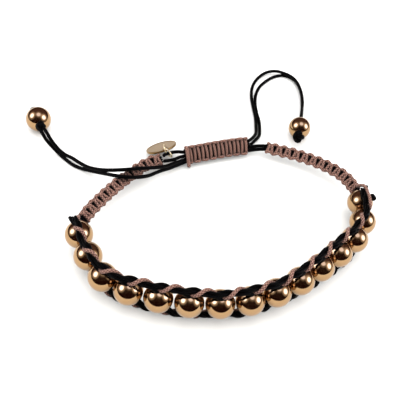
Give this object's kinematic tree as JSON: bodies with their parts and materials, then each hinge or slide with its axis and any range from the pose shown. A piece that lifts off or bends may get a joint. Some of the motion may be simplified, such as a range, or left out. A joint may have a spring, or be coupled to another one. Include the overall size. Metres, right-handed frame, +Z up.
{
  "type": "macrame bead bracelet",
  "caption": "Adjustable macrame bracelet: polished metal beads between twisted cord ropes, two square-knotted bands, a sliding knot, beaded cord tails and a small blank tag.",
  "frame": {"origin": "middle of the bracelet's loop on the surface that it lies on", "axes": "+Z up off the surface, -Y towards the row of beads, +Y towards the sliding knot, +X towards the row's right end"},
  "size_m": [0.0874, 0.0928, 0.0102],
  "materials": {
    "rose_gold_bead": "mirror-polished rose gold plate",
    "brown_cord": "braided mauve-brown polyester cord",
    "black_cord": "waxed black cord, slight sheen",
    "champagne_tag": "satin champagne plate",
    "pale_gold_wire": "polished pale gold plate"
  },
  "bodies": {
    "root": {"bead_01": "rose_gold_bead", "bead_02": "rose_gold_bead", "bead_03": "rose_gold_bead", "bead_04": "rose_gold_bead", "bead_05": "rose_gold_bead", "bead_06": "rose_gold_bead", "bead_07": "rose_gold_bead", "bead_08": "rose_gold_bead", "bead_09": "rose_gold_bead", "bead_10": "rose_gold_bead", "bead_11": "rose_gold_bead", "bead_12": "rose_gold_bead", "bead_13": "rose_gold_bead", "bead_14": "rose_gold_bead", "bead_15": "rose_gold_bead", "bead_thread": "black_cord", "upper_brown_cord": "brown_cord", "upper_black_cord": "black_cord", "lower_brown_cord": "brown_cord", "lower_black_cord": "black_cord", "right_thread_end": "black_cord", "left_band": "brown_cord", "right_band": "brown_cord", "sliding_knot": "brown_cord", "brown_cord_end": "brown_cord", "left_core_front": "black_cord", "left_core_back": "black_cord", "right_core_front": "black_cord", "right_core_back": "black_cord", "left_tail_front": "black_cord", "left_tail_back": "black_cord", "right_tail_outer": "black_cord", "right_tail_inner": "black_cord", "left_near_knot": "black_cord", "left_tip_bead": "rose_gold_bead", "left_end_knot": "black_cord", "right_tip_bead": "rose_gold_bead", "right_end_knot": "black_cord", "tag": "champagne_tag", "tag_ring": "pale_gold_wire", "jump_ring": "pale_gold_wire"}
  },
  "joints": []
}
